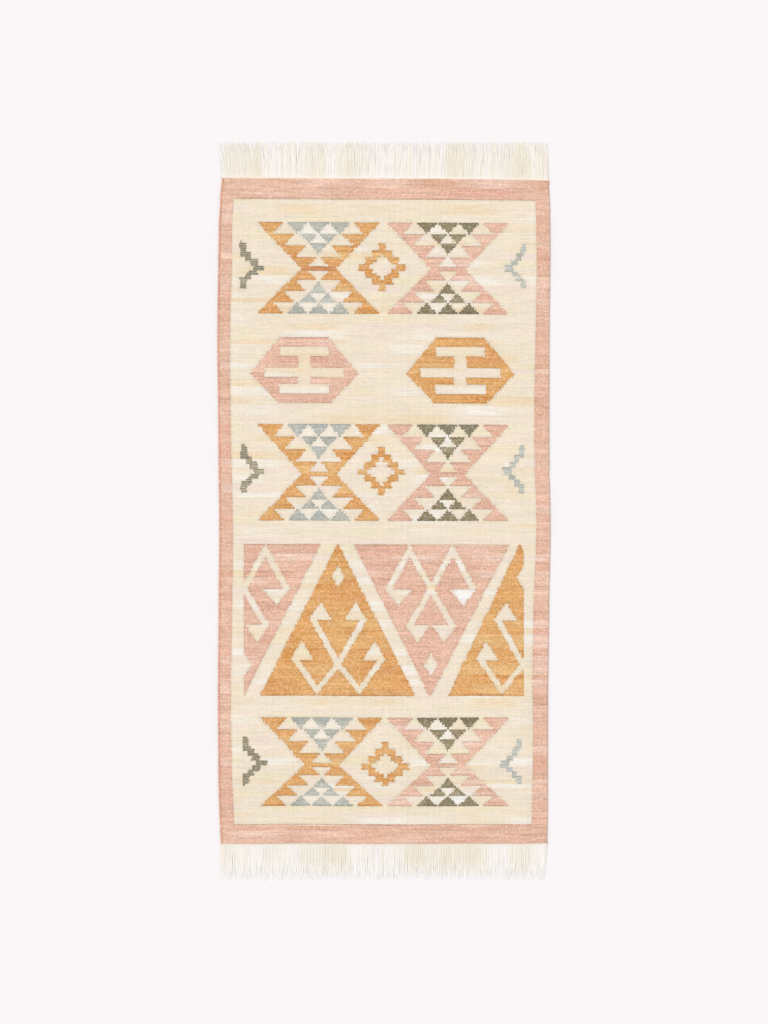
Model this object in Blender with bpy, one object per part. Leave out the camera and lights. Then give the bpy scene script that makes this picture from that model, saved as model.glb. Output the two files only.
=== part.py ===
"""Flat-woven kilim rug, laid out flat, with a fringe of loose warp ends past each end.

Metres, +Z up. X runs across the rug and Y along it. The underside lies on z = 0, under the middle
of the whole outline, fringes included.
"""

import math
import random
from collections import namedtuple

import bmesh
import bpy

# The woven cloth
RUG_WIDTH = 0.700
RUG_LENGTH = 1.415  # both heading rows included, fringes left out
CLOTH_THICKNESS = 0.0040
EDGE_ROUND = 0.0014  # radius of the selvedges and of the woven ends
EDGE_STEPS = 2
CLOTH_COLUMNS = 14
CLOTH_ROWS = 30
SURFACE_WAVE = 0.00022  # how far the top swells and sinks over the cloth
WAVE_ALONG = 0.47  # length of those swells along the rug
WAVE_ACROSS = 0.36  # and across it

# The heading row that holds the warp ends, parted from the cloth
HEADING_DEPTH = 0.0030
HEADING_HEIGHT = 0.0030
HEADING_INSET = 0.0016  # its ends stop this far inside the selvedges
PARTING = 0.0003

# The fringes
LOCK_COUNT = 120
LOCK_FILL = 0.76  # a lock's width at its root, as a share of the pitch
OVERALL_LENGTH = 1.568  # from the longest lock's tip to the other end's
LOCK_UNEVEN = 0.0090  # how much shorter the shortest lock may be
LOCK_SWAY = 0.0006  # how far a tip leans on its own, over the lean of its neighbours
CREST_SHARE = 0.6  # width of a lock's upper side, as a share of its underside

# Edges bent more than this are the rim that gets rounded, and the ones that are shaded sharp
RIM_ANGLE = math.radians(60.0)
SHARP_ANGLE = math.radians(40.0)

# One row for each station along a lock: how far along it lies, and its width and height as shares
# of those at the root.
LockStation = namedtuple("LockStation", "along width height")
LOCK_STATIONS = (
    LockStation(0.30, 1.00, 0.86),
    LockStation(0.68, 0.96, 0.74),
    LockStation(1.00, 0.72, 0.50),
)

# One row for each place along the rug: how far each selvedge stands out past half of the width.
SelvedgeRow = namedtuple("SelvedgeRow", "y left right")
SELVEDGES = (
    SelvedgeRow(-0.7075, -0.0034, -0.0030),
    SelvedgeRow(-0.560, 0.0006, -0.0030),
    SelvedgeRow(-0.400, 0.0016, -0.0028),
    SelvedgeRow(-0.220, 0.0002, -0.0006),
    SelvedgeRow(-0.040, -0.0014, 0.0028),
    SelvedgeRow(0.150, 0.0006, 0.0000),
    SelvedgeRow(0.375, 0.0028, 0.0006),
    SelvedgeRow(0.585, 0.0000, 0.0024),
    SelvedgeRow(0.675, -0.0026, 0.0012),
    SelvedgeRow(0.7075, -0.0062, 0.0004),
)

# One row for each place across the rug: how far each end stands out past half of the length, and
# how far the fringe's tips lean towards +X.
EndRow = namedtuple("EndRow", "x far near far_lean near_lean")
ENDS = (
    EndRow(-0.353, 0.0024, 0.0008, -0.0085, -0.0030),
    EndRow(-0.290, 0.0022, 0.0004, -0.0020, 0.0010),
    EndRow(-0.180, 0.0014, -0.0008, 0.0016, -0.0030),
    EndRow(-0.060, 0.0008, 0.0004, -0.0010, 0.0022),
    EndRow(0.070, 0.0004, 0.0006, 0.0020, -0.0018),
    EndRow(0.190, -0.0006, -0.0004, 0.0034, 0.0016),
    EndRow(0.290, -0.0018, 0.0002, 0.0020, -0.0022),
    EndRow(0.353, -0.0026, -0.0002, -0.0004, -0.0034),
)

CLOTH_COLOUR = (0.90, 0.80, 0.64)
CLOTH_ROUGHNESS = 0.95
FRINGE_COLOUR = (0.92, 0.89, 0.82)
FRINGE_ROUGHNESS = 0.90


def clear_scene():
    for thing in list(bpy.data.objects):
        bpy.data.objects.remove(thing, do_unlink=True)


def plain_material(name, colour, roughness):
    material = bpy.data.materials.new(name)
    material.use_nodes = True
    shader = material.node_tree.nodes["Principled BSDF"]
    shader.inputs["Base Color"].default_value = (*colour, 1.0)
    shader.inputs["Roughness"].default_value = roughness
    shader.inputs["Metallic"].default_value = 0.0
    return material


def read_table(rows, place, place_column, column):
    """A column's value between the rows of a table, eased from row to row."""
    low = rows[0]
    for high in rows[1:]:
        if place <= getattr(high, place_column):
            break
        low = high
    start = getattr(low, place_column)
    stop = getattr(high, place_column)
    share = min(max((place - start) / (stop - start), 0.0), 1.0) if stop > start else 1.0
    eased = share * share * (3.0 - 2.0 * share)
    return getattr(low, column) + eased * (getattr(high, column) - getattr(low, column))


def selvedge_x(side, y):
    """X of the left (-1) or right (+1) selvedge at a place along the rug."""
    column = "right" if side > 0 else "left"
    return side * (RUG_WIDTH / 2.0 + read_table(SELVEDGES, y, "y", column))


def end_y(end, x):
    """Y of the outer edge of the near (-1) or far (+1) heading row at a place across the rug."""
    column = "far" if end > 0 else "near"
    return end * (RUG_LENGTH / 2.0 + read_table(ENDS, x, "x", column))


def tip_lean(end, x):
    return read_table(ENDS, x, "x", "far_lean" if end > 0 else "near_lean")


def top_height(x, y):
    """The cloth's upper surface, which swells and sinks softly."""
    along = math.sin(2.0 * math.pi * y / WAVE_ALONG)
    across = math.sin(2.0 * math.pi * x / WAVE_ACROSS + along)
    return CLOTH_THICKNESS + SURFACE_WAVE * (along + across) / 2.0


def finished_object(name, bm, material):
    """Makes the named object from a bmesh, with its faces pointing out."""
    bmesh.ops.recalc_face_normals(bm, faces=bm.faces[:])
    mesh = bpy.data.meshes.new(name)
    bm.to_mesh(mesh)
    bm.free()
    mesh.materials.append(material)
    mesh.shade_smooth()
    mesh.set_sharp_from_angle(angle=SHARP_ANGLE)
    made = bpy.data.objects.new(name, mesh)
    bpy.context.scene.collection.objects.link(made)
    return made


def moved_verts(made):
    return [item for item in made if isinstance(item, bmesh.types.BMVert)]


def build_cloth():
    """One flat sheet with wavy sides, rounded all round its rim."""
    bm = bmesh.new()
    bmesh.ops.create_grid(bm, x_segments=CLOTH_COLUMNS, y_segments=CLOTH_ROWS, size=1.0)
    set_back = HEADING_DEPTH + PARTING
    for vert in bm.verts:
        across, along = (vert.co.x + 1.0) / 2.0, (vert.co.y + 1.0) / 2.0
        y_nominal = (along - 0.5) * RUG_LENGTH
        left, right = selvedge_x(-1, y_nominal), selvedge_x(1, y_nominal)
        x = left + across * (right - left)
        near, far = end_y(-1, x) + set_back, end_y(1, x) - set_back
        vert.co = (x, near + along * (far - near), 0.0)

    underside = bm.faces[:]
    raised = bmesh.ops.extrude_face_region(bm, geom=underside)["geom"]
    for vert in moved_verts(raised):
        vert.co.z = top_height(vert.co.x, vert.co.y)

    bmesh.ops.dissolve_faces(bm, faces=underside)
    bent = [edge for edge in bm.edges if edge.calc_face_angle(0.0) > RIM_ANGLE]
    rim = [edge for edge in bent if abs(edge.verts[0].co.z - edge.verts[1].co.z) < EDGE_ROUND]
    bmesh.ops.bevel(
        bm,
        geom=rim,
        offset=EDGE_ROUND,
        segments=EDGE_STEPS,
        profile=0.5,
        affect="EDGES",
        material=-1,
    )
    return finished_object("rug_cloth", bm, plain_material("rug_cloth", CLOTH_COLOUR, CLOTH_ROUGHNESS))


def heading_columns(end):
    """X of each side of each lock's root, in pairs, evenly spread along the heading row."""
    y = end * RUG_LENGTH / 2.0
    left, right = selvedge_x(-1, y) + HEADING_INSET, selvedge_x(1, y) - HEADING_INSET
    pitch = (right - left) / LOCK_COUNT
    gap = pitch * (1.0 - LOCK_FILL) / 2.0
    roots = [(left + i * pitch + gap, left + (i + 1) * pitch - gap) for i in range(LOCK_COUNT)]
    return left, roots, right


def build_heading(bm, end, left, roots, right):
    """The heading row, a low wall drawn out to its depth. Returns the faces where the locks start."""
    columns = [left, *(x for root in roots for x in root), right]
    depth = end * HEADING_DEPTH
    foot = [bm.verts.new((x, end_y(end, x) - depth, 0.0)) for x in columns]
    foot_edges = [bm.edges.new(pair) for pair in zip(foot, foot[1:])]
    raised = bmesh.ops.extrude_edge_only(bm, edges=foot_edges)["geom"]
    bmesh.ops.translate(bm, verts=moved_verts(raised), vec=(0.0, 0.0, HEADING_HEIGHT))
    drawn = bmesh.ops.extrude_face_region(bm, geom=bm.faces[:])["geom"]
    bmesh.ops.translate(bm, verts=moved_verts(drawn), vec=(0.0, depth, 0.0))
    outer = [item for item in drawn if isinstance(item, bmesh.types.BMFace)]
    outer.sort(key=lambda face: face.calc_center_median().x)
    return outer[1::2]


def draw_out_lock(bm, root_face, root_y, tip_y, lean):
    """Extrudes one lock from its root, level on the floor, narrowing to its tip."""
    middle = root_face.calc_center_median().x
    half_root = max(vert.co.x for vert in root_face.verts) - middle
    face = root_face
    for station in LOCK_STATIONS:
        before = face.calc_center_median().x
        face = bmesh.ops.extrude_discrete_faces(bm, faces=[face])["faces"][0]
        centre = middle + lean * station.along**2
        for vert in face.verts:
            side = 1.0 if vert.co.x > before else -1.0
            upper = vert.co.z > 0.0
            half = half_root * station.width * (CREST_SHARE if upper else 1.0)
            vert.co.x = centre + side * half
            vert.co.y = root_y + station.along * (tip_y - root_y)
            vert.co.z = HEADING_HEIGHT * station.height if upper else 0.0


def build_fringe(name, end, seed):
    draws = random.Random(seed)
    shortfalls = [LOCK_UNEVEN * draws.random() ** 1.5 for _ in range(LOCK_COUNT)]
    least = min(shortfalls)
    sways = [LOCK_SWAY * draws.uniform(-1.0, 1.0) for _ in range(LOCK_COUNT)]

    bm = bmesh.new()
    left, roots, right = heading_columns(end)
    root_faces = build_heading(bm, end, left, roots, right)
    for root_face, shortfall, sway in zip(root_faces, shortfalls, sways):
        x = root_face.calc_center_median().x
        tip_y = end * (OVERALL_LENGTH / 2.0 - (shortfall - least))
        draw_out_lock(bm, root_face, end_y(end, x), tip_y, tip_lean(end, x) + sway)
    return finished_object(name, bm, plain_material(name, FRINGE_COLOUR, FRINGE_ROUGHNESS))


clear_scene()
build_cloth()
build_fringe("fringe_far", 1, seed=11)
build_fringe("fringe_near", -1, seed=29)
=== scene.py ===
import math
import random

import bmesh
import bpy
import numpy as np
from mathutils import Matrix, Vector, noise


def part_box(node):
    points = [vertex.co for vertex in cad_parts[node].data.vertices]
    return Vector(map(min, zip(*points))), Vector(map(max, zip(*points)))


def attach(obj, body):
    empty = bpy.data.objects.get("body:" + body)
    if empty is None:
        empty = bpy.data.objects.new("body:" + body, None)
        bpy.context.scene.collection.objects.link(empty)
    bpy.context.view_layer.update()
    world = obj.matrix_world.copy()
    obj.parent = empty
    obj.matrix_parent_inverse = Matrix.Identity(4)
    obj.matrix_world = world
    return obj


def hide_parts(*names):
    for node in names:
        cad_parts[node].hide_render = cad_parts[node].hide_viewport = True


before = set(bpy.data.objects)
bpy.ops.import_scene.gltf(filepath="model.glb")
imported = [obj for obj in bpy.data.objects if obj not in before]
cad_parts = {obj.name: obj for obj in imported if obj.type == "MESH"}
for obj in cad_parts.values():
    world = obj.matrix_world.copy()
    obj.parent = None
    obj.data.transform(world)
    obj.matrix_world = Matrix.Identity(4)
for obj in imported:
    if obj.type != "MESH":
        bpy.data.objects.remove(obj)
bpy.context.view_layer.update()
print("frame loaded:", ", ".join(sorted(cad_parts)))


# Studio: a pale floor under soft light, looked at straight from above
studio = {
    "pixelOnFloor": 0.00212,  # metres of floor that one pixel shows
    "pictureHeight": 1024,  # pixels
    "lens": 85.0,
    "sensor": 36.0,
    "lookAt": (0.0005, -0.0014),  # the point of the floor under the camera
    "floorSeen": (251, 247, 248),  # how the floor shows, 0 to 255
    "floorReach": 40.0,
    "floorDrop": 0.0001,  # the floor lies this far under the cloth, so that the two don't mix
    "skyLight": 0.90,
    "sunLight": 0.36,  # what the sun adds to the sky's light on the floor
    "sunHeight": 46.0,  # degrees above the floor
    "sunFrom": 133.0,  # degrees round from +X towards +Y
    "sunAngle": 20.0,  # degrees, which softens its shadows
}


def linear(level):
    level = level / 255.0
    return level / 12.92 if level <= 0.04045 else ((level + 0.055) / 1.055) ** 2.4


def dyed(seen, lost=0.0):  # the surface's own colour, from how it shows, 0 to 255, in this light
    light = (studio["skyLight"] + studio["sunLight"]) * (1.0 - lost)
    return np.array([linear(level) for level in seen]) / light


def signOf(operation, reflected=False):  # what one of Python's signs does with a wire
    if reflected:
        return lambda self, other: self.maths(operation, other, self)
    return lambda self, other: self.maths(operation, self, other)


class Wire:  # an output of a node, which Python's own signs carry on through Math nodes
    def __init__(self, look, socket):
        self.look = look
        self.socket = socket

    def maths(self, operation, *values):
        return self.look.node("ShaderNodeMath", {"operation": operation}, values)

    __add__ = signOf("ADD")
    __radd__ = signOf("ADD", reflected=True)
    __sub__ = signOf("SUBTRACT")
    __rsub__ = signOf("SUBTRACT", reflected=True)
    __mul__ = signOf("MULTIPLY")
    __rmul__ = signOf("MULTIPLY", reflected=True)
    __truediv__ = signOf("DIVIDE")
    __mod__ = signOf("FLOORED_MODULO")
    __lt__ = signOf("LESS_THAN")
    __gt__ = signOf("GREATER_THAN")
    __and__ = signOf("MULTIPLY")  # for wires that are 0 or 1, as the next two are
    __or__ = signOf("MAXIMUM")

    def __invert__(self):
        return self.maths("SUBTRACT", 1.0, self)

    def __floordiv__(self, other):
        return self.maths("FLOOR", self if other == 1 else self / other)

    def __abs__(self):
        return self.maths("ABSOLUTE", self)

    def wave(self):
        return self.maths("SINE", self)

    def positive(self):
        return self.maths("MAXIMUM", self, 0.0)


yarnGloss = {"specular": 0.2, "sheenRoughness": 0.5}


class Look:  # a material with one Principled shader, built up from wires
    def __init__(self, name, roughness, sheen):
        self.material = bpy.data.materials.new(name)
        self.material.use_nodes = True
        self.tree = self.material.node_tree
        self.shader = self.tree.nodes["Principled BSDF"]
        self.shader.inputs["Roughness"].default_value = roughness
        self.shader.inputs["Specular IOR Level"].default_value = yarnGloss["specular"]
        self.shader.inputs["Sheen Weight"].default_value = sheen
        self.shader.inputs["Sheen Roughness"].default_value = yarnGloss["sheenRoughness"]

    def feed(self, node, values):
        named = values.items() if isinstance(values, dict) else enumerate(values)
        for place, value in named:
            if isinstance(value, Wire):
                self.tree.links.new(value.socket, node.inputs[place])
            else:
                node.inputs[place].default_value = value

    def node(self, kind, settings=None, values=(), output=0):
        made = self.tree.nodes.new(kind)
        for name, value in (settings or {}).items():
            setattr(made, name, value)
        self.feed(made, values)
        return Wire(self, made.outputs[output])

    def parts(self, vector):
        split = self.node("ShaderNodeSeparateXYZ", None, [vector]).socket.node
        return [Wire(self, socket) for socket in split.outputs]

    def noise(self, x, y, detail=1.0, roughness=0.5, layer=0.0):  # from about 0.25 to 0.75
        place = self.node("ShaderNodeCombineXYZ", None, [x, y, layer])
        values = {"Vector": place, "Scale": 1.0, "Detail": detail, "Roughness": roughness}
        return self.node("ShaderNodeTexNoise", {"noise_dimensions": "3D"}, values)

    def chance(self, x, y, z=0.0, dimensions="2D"):  # from 0 to 1, one value for each seat
        seat = self.node("ShaderNodeCombineXYZ", None, [x, y, z])
        return self.node("ShaderNodeTexWhiteNoise", {"noise_dimensions": dimensions}, {"Vector": seat})

    def lerp(self, share, first, second):
        return self.node("ShaderNodeMix", {"data_type": "RGBA"}, {0: share, 6: first, 7: second}, 2)

    def times(self, first, second):
        return self.node("ShaderNodeVectorMath", {"operation": "MULTIPLY"}, [first, second])

    def scaled(self, colour, by):
        return self.node("ShaderNodeVectorMath", {"operation": "SCALE"}, {0: colour, 3: by})

    def bump(self, height, depth):
        return self.node("ShaderNodeBump", None, {"Strength": 1.0, "Distance": depth, "Height": height})


def meshOf(bm, name):
    mesh = bpy.data.meshes.new(name)
    bm.to_mesh(mesh)
    bm.free()
    return mesh


def inScene(name, data):  # a new object, at the origin
    made = bpy.data.objects.new(name, data)
    bpy.context.scene.collection.objects.link(made)
    return made


def makeFloor():
    bm = bmesh.new()
    bmesh.ops.create_grid(bm, x_segments=1, y_segments=1, size=studio["floorReach"])
    bmesh.ops.translate(bm, verts=bm.verts, vec=(0.0, 0.0, -studio["floorDrop"]))
    mesh = meshOf(bm, "floor")
    look = Look("paleFloor", roughness=1.0, sheen=0.0)
    look.feed(look.shader, {"Base Color": (*dyed(studio["floorSeen"]), 1.0), "Specular IOR Level": 0.0})
    mesh.materials.append(look.material)
    inScene("floor", mesh)


def lightStudio():
    scene = bpy.context.scene
    scene.world = bpy.data.worlds.new("paleRoom")
    scene.world.use_nodes = True
    sky = scene.world.node_tree.nodes["Background"]
    sky.inputs["Color"].default_value = (1.0, 1.0, 1.0, 1.0)
    sky.inputs["Strength"].default_value = studio["skyLight"]
    sun = bpy.data.lights.new("softSun", "SUN")
    height, around = math.radians(studio["sunHeight"]), math.radians(studio["sunFrom"])
    sun.energy = studio["sunLight"] * math.pi / math.sin(height)
    sun.angle = math.radians(studio["sunAngle"])
    level = math.cos(height)
    towards = Vector((level * math.cos(around), level * math.sin(around), math.sin(height)))
    inScene("softSun", sun).rotation_euler = towards.to_track_quat("Z", "Y").to_euler()
    scene.view_settings.view_transform = "Standard"


def placeCamera():
    camera = bpy.data.cameras.new("above")
    camera.lens, camera.sensor_width = studio["lens"], studio["sensor"]
    distance = studio["pictureHeight"] * studio["pixelOnFloor"] * studio["lens"] / studio["sensor"]
    made = inScene("above", camera)
    made.location = (*studio["lookAt"], distance)
    bpy.context.scene.camera = made


makeFloor()
lightStudio()
placeCamera()
print("studio ready")


# Chart: counted in columns across and rows along, from the far end down. The same lines chart the
# cells of the mesh, as numbers, and the turns of yarn in the material, as wires
loom = {
    "columns": 140,
    "zones": [  # name, rows, length along the rug in millimetres
        ("farBorder", 9, 44.4),
        ("farPlain", 9, 48.8),
        ("farHourglassTops", 20, 99.1),
        ("farHourglassFeet", 20, 95.6),
        ("overHexagons", 10, 49.9),
        ("hexagons", 28, 140.4),
        ("underHexagons", 9, 44.8),
        ("middleHourglassTops", 20, 106.5),
        ("middleHourglassFeet", 20, 99.0),
        ("overTriangles", 10, 50.4),
        ("triangles", 64, 322.5),
        ("underTriangles", 9, 45.8),
        ("nearHourglassTops", 20, 102.2),
        ("nearHourglassFeet", 20, 86.8),
        ("nearPlain", 8, 38.5),
        ("nearBorder", 9, 41.5),
    ],
    "leftBorder": 6.0,
    "rightBorder": 6.0,
    "leftSelvedge": 1.0,
    "rightSelvedge": 0.0,
    "endPick": 0.5,  # rows of the darker pick at each edge of the end borders
}
zoneSize = {name: rows for name, rows, _ in loom["zones"]}
zoneRow = dict(zip(zoneSize, np.cumsum([0] + list(zoneSize.values()))))
rowCount = sum(zoneSize.values())
colCount = loom["columns"]

# The yarns, each as its shades show, 0 to 255, the usual one first
yarns = {
    "cream": [(244, 229, 207), (243, 221, 186), (249, 241, 229), (245, 227, 211), (243, 229, 198)],
    "pale": [(250, 243, 231), (247, 236, 218)],
    "white": [(250, 247, 243), (248, 243, 235)],
    "coral": [(233, 188, 164), (224, 173, 146), (242, 204, 184), (232, 179, 156)],
    "coralDark": [(205, 158, 134), (196, 148, 124)],
    "selvedge": [(230, 176, 150), (220, 162, 136)],
    "pink": [(235, 190, 166), (226, 174, 150), (242, 206, 188), (228, 178, 156)],
    "orange": [(228, 170, 102), (219, 151, 80), (235, 187, 124), (224, 158, 96)],
    "orangeDark": [(224, 152, 96), (216, 144, 88)],
    "olive": [(149, 134, 101), (132, 119, 89), (162, 149, 118), (138, 131, 105)],
    "oliveLight": [(172, 162, 136), (158, 148, 122)],
    "slate": [(189, 189, 178), (176, 177, 166), (200, 200, 190), (184, 188, 184)],
    "slateLight": [(208, 209, 198), (200, 203, 194)],
}
yarnNames = list(yarns)
undyed = ("cream", "pale", "white")


def between(value, low, high):
    return (value > low) & (value < high)


def lower(first, second):
    return (first + second - abs(first - second)) / 2


def higher(first, second):
    return (first + second + abs(first - second)) / 2


def fromNearest(col, centres):  # columns from the nearer of two centres
    middle, reach = sum(centres) / 2, (centres[1] - centres[0]) / 2
    return abs(abs(col - middle) - reach)


hourglass = {
    "centres": (43.0, 97.0),
    "leftShift": (-0.5, -0.3, 0.8),  # columns by which the left one of each band sits further right
    "waists": [zoneRow[name] for name in ("farHourglassFeet", "middleHourglassFeet", "nearHourglassFeet")],
    "halfRows": 20,
    "step": 5,  # rows of each triangle up an arm
    "waist": 7.3,  # columns from the middle to the arm's outer edge, at the waist
    "lean": 0.93,  # columns that this edge moves out in a row
    "tip": 2.1,  # width of each triangle where the one below ends
    "spread": 1.85,  # columns by which it gets wider in a row
    "bar": (6.4, 0.85),
    "darkBars": (1, 0, 0),  # bands whose left bar is woven darker
    "heartTiers": [(6.2, 11.0, 3.6), (11.0, 15.2, 3.9), (15.2, 20.0, 4.45)],  # rows, half of each base
    "heartTip": 0.1,  # half the width of each tip
}


def perBand(row, values):  # picks the value of the nearest of the three bands of hourglasses
    waists = hourglass["waists"]
    value = values[0]
    for place in (1, 2):
        value = value + (row > (waists[place - 1] + waists[place]) / 2) * (values[place] - values[place - 1])
    return value


def hourglassAreas(out, away):
    form = hourglass
    climbed = away - away // form["step"] * form["step"]
    inside = away * form["lean"] + form["waist"] - out
    inBand = away < form["halfRows"]
    arms = between(inside, 0, climbed * form["spread"] + form["tip"]) & inBand
    bar = (out < form["bar"][0]) & (away < form["bar"][1])
    return arms, bar


def heartAreas(out, away):  # tiers of one, two and three small triangles, and what lies between them
    heart, gaps = away < 0, away < 0
    for tier, (start, stop, half) in enumerate(hourglass["heartTiers"]):
        inTier = between(away, start, stop)
        nearest = abs((out + half * (tier + 1)) % (2 * half) - half)
        wide = (away - start) * (half / (stop - start)) + hourglass["heartTip"]
        heart = heart | (inTier & (nearest < wide) & (out < half * (tier + 1)))
        gaps = gaps | (inTier & (out < half * tier))
    return heart, gaps


stepped = {
    "centres": (69.35, 68.9, 70.6),  # column in each band
    "rises": (0.8, 1.0, -0.15),  # rows above the waists
    "block": (2.85, 2.95),  # columns, rows
    "steps": 3,
    "opening": (1.6, 1.6),
}


def blocksAway(across, along, size):
    return abs((across / size[0] + 0.5) // 1) + abs((along / size[1] + 0.5) // 1)


def steppedArea(across, along):
    steps = stepped["steps"] + 0.5
    opening = blocksAway(across, along, stepped["opening"]) < steps
    return (blocksAway(across, along, stepped["block"]) < steps) & ~opening


chevrons = {
    "slant": 0.3,  # rows by which a step rises in a column
    "left": {
        "tips": (19.5, 19.9, 20.6),  # column in each band, and which way the arms run from it
        "way": -1,
        "rises": (0.1, 0.95, 0.9),  # rows above the waist
        "farArm": (0.95, 0.91, 0.92),  # lengths of the arms, as shares of the steps below
        "nearArm": (0.78, 0.77, 0.88),
        "steps": [(0.0, 4.6, 0.0, 1.4), (2.7, 6.2, 1.1, 4.2), (5.4, 8.0, 3.1, 7.1), (7.5, 10.1, 5.3, 11.7)],
    },
    "right": {
        "tips": (121.1, 120.3, 119.2),
        "way": 1,
        "rises": (0.6, 1.2, 0.2),
        "farArm": (0.97, 1.0, 1.05),
        "nearArm": (0.85, 0.86, 0.88),
        "steps": [(0.0, 3.4, 0.0, 1.5), (2.6, 5.2, 1.3, 3.9), (4.8, 6.9, 3.4, 6.9), (6.7, 8.8, 6.0, 10.4)],
    },
}


def chevronArea(col, row, past, form):
    out = (col - perBand(row, form["tips"])) * form["way"]
    past = past + perBand(row, form["rises"])
    away = higher(past * -1 / perBand(row, form["farArm"]), past / perBand(row, form["nearArm"]))
    first, last, start, stop = form["steps"][0]
    area = between(out, first, last) & (away < stop)
    for first, last, start, stop in form["steps"][1:]:
        slanted = away - (out - (first + last) / 2) * chevrons["slant"]
        area = area | (between(out, first, last) & between(slanted, start, stop))
    return area


hexagon = {
    "centres": (36.45, 102.3),
    "widest": (22.9, 15.5),  # half its width, and how many rows down
    "farHalf": 10.2,
    "nearHalf": 11.0,
    "bars": [  # half width in columns, first row, last row
        (10.2, 4.2, 8.3),
        (16.9, 12.6, 16.9),
        (10.6, 20.3, 24.0),
        (2.6, 4.2, 24.0),
    ],
}


def hexagonArea(out, down):
    form, rows = hexagon, zoneSize["hexagons"]
    half, widest = form["widest"]
    upper = form["farHalf"] + down * ((half - form["farHalf"]) / widest)
    under = form["nearHalf"] + (rows - down) * ((half - form["nearHalf"]) / (rows - widest))
    area = (out < lower(upper, under)) & between(down, 0, rows)
    for barHalf, first, last in form["bars"]:
        area = area & ~((out < barHalf) & between(down, first, last))
    return area


triangle = {
    "from": 11.0,  # the band's first and last column
    "to": 129.0,
    "firstMiddle": 10.8,  # column of the first triangle's middle
    "spacing": 39.7,
    "halfBase": 32.5,
    "tipEase": 0.3,
    "lineWidth": 2.9,
    "orange": {
        "shifts": (0.25, -1.15),  # columns by which the signs of the two triangles sit further right
        "tipShifts": (0.2, -2.6),  # and their tips
        "cross": 50.7,  # rows from the tip
        "innerCorner": (10.5, 32.0),  # column, row
        "outerCorner": (18.2, 48.6),
        "foot": (9.0, 61.7),
        "innerHook": (2.7, 12.4, 7.3),  # its base's first and last column, and its tip's
        "outerHook": (10.6, 19.9, 15.4),
        "hookTall": 7.7,
        "spot": (2.8, 4.5, 13.6),  # half its width, half its height, row
    },
    "pink": {
        "shifts": (0.35, -0.3),
        "tipShifts": (0.0, -0.75),
        "cross": 45.2,
        "innerCorner": (9.1, 29.6),
        "outerCorner": (17.8, 45.3),
        "foot": (9.0, 61.6),
        "innerHook": (0.8, 10.6, 5.4),
        "outerHook": (7.6, 19.4, 13.6),
        "hookTall": 7.0,
        "spot": (3.0, 4.7, 13.2),
    },
    "whiteHook": (100.0, 115.0),  # the hook between these columns is woven in clean white
}


def onLine(side, down, start, stop):
    slope = (stop[0] - start[0]) / (stop[1] - start[1])
    return abs(side - start[0] - (down - start[1]) * slope) < triangle["lineWidth"] / 2


def hookArea(side, down, hook, baseRow, tall):
    first, last, tip = hook
    up = (baseRow - down) / tall
    return (side > first + up * (tip - first)) & (side < last + up * (tip - last)) & between(up, 0, 1)


def triangleAreas(col, down, yarn, centre):  # one triangle in two, with down counted from its tip
    form, sign = triangle, triangle[yarn]
    along = (col - centre + form["spacing"]) % (2 * form["spacing"]) - form["spacing"]
    second = col > centre + form["spacing"]
    pairs = sign["shifts"], sign["tipShifts"]
    shift, tipShift = (first + second * (last - first) for first, last in pairs)
    side = abs(along - tipShift * (1 - down / zoneSize["triangles"]))
    half = down * (form["halfBase"] / zoneSize["triangles"]) + form["tipEase"]
    inside = (side < half) & between(down, 0, zoneSize["triangles"])
    inside = inside & between(col, form["from"], form["to"])
    side = abs(along - shift)
    halfSpot, halfTall, spotRow = sign["spot"]
    signs = side / halfSpot + abs(down - spotRow) / halfTall < 1
    cross, foot, tall = (0.0, sign["cross"]), sign["foot"], sign["hookTall"]
    inner, outer = sign["innerCorner"], sign["outerCorner"]
    toFoot, fromCorner = onLine(side, down, cross, foot), onLine(side, down, outer, foot)
    signs = signs | (onLine(side, down, cross, inner) & between(down, inner[1], cross[1]))
    signs = signs | (toFoot & between(down, cross[1], foot[1]))
    signs = signs | (fromCorner & between(down, outer[1], foot[1]))
    signs = signs | (toFoot & fromCorner)  # past the foot, where the two lines end in a point
    signs = signs | hookArea(side, down, sign["innerHook"], inner[1], tall)
    outerHook = hookArea(side, down, sign["outerHook"], outer[1], tall)
    return inside & ~(signs | outerHook), inside & outerHook & between(col, *form["whiteHook"])


palePatch = {"columns": (98.5, 104.5), "rows": 5.5}  # in clean white, over the near plain zone


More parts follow.
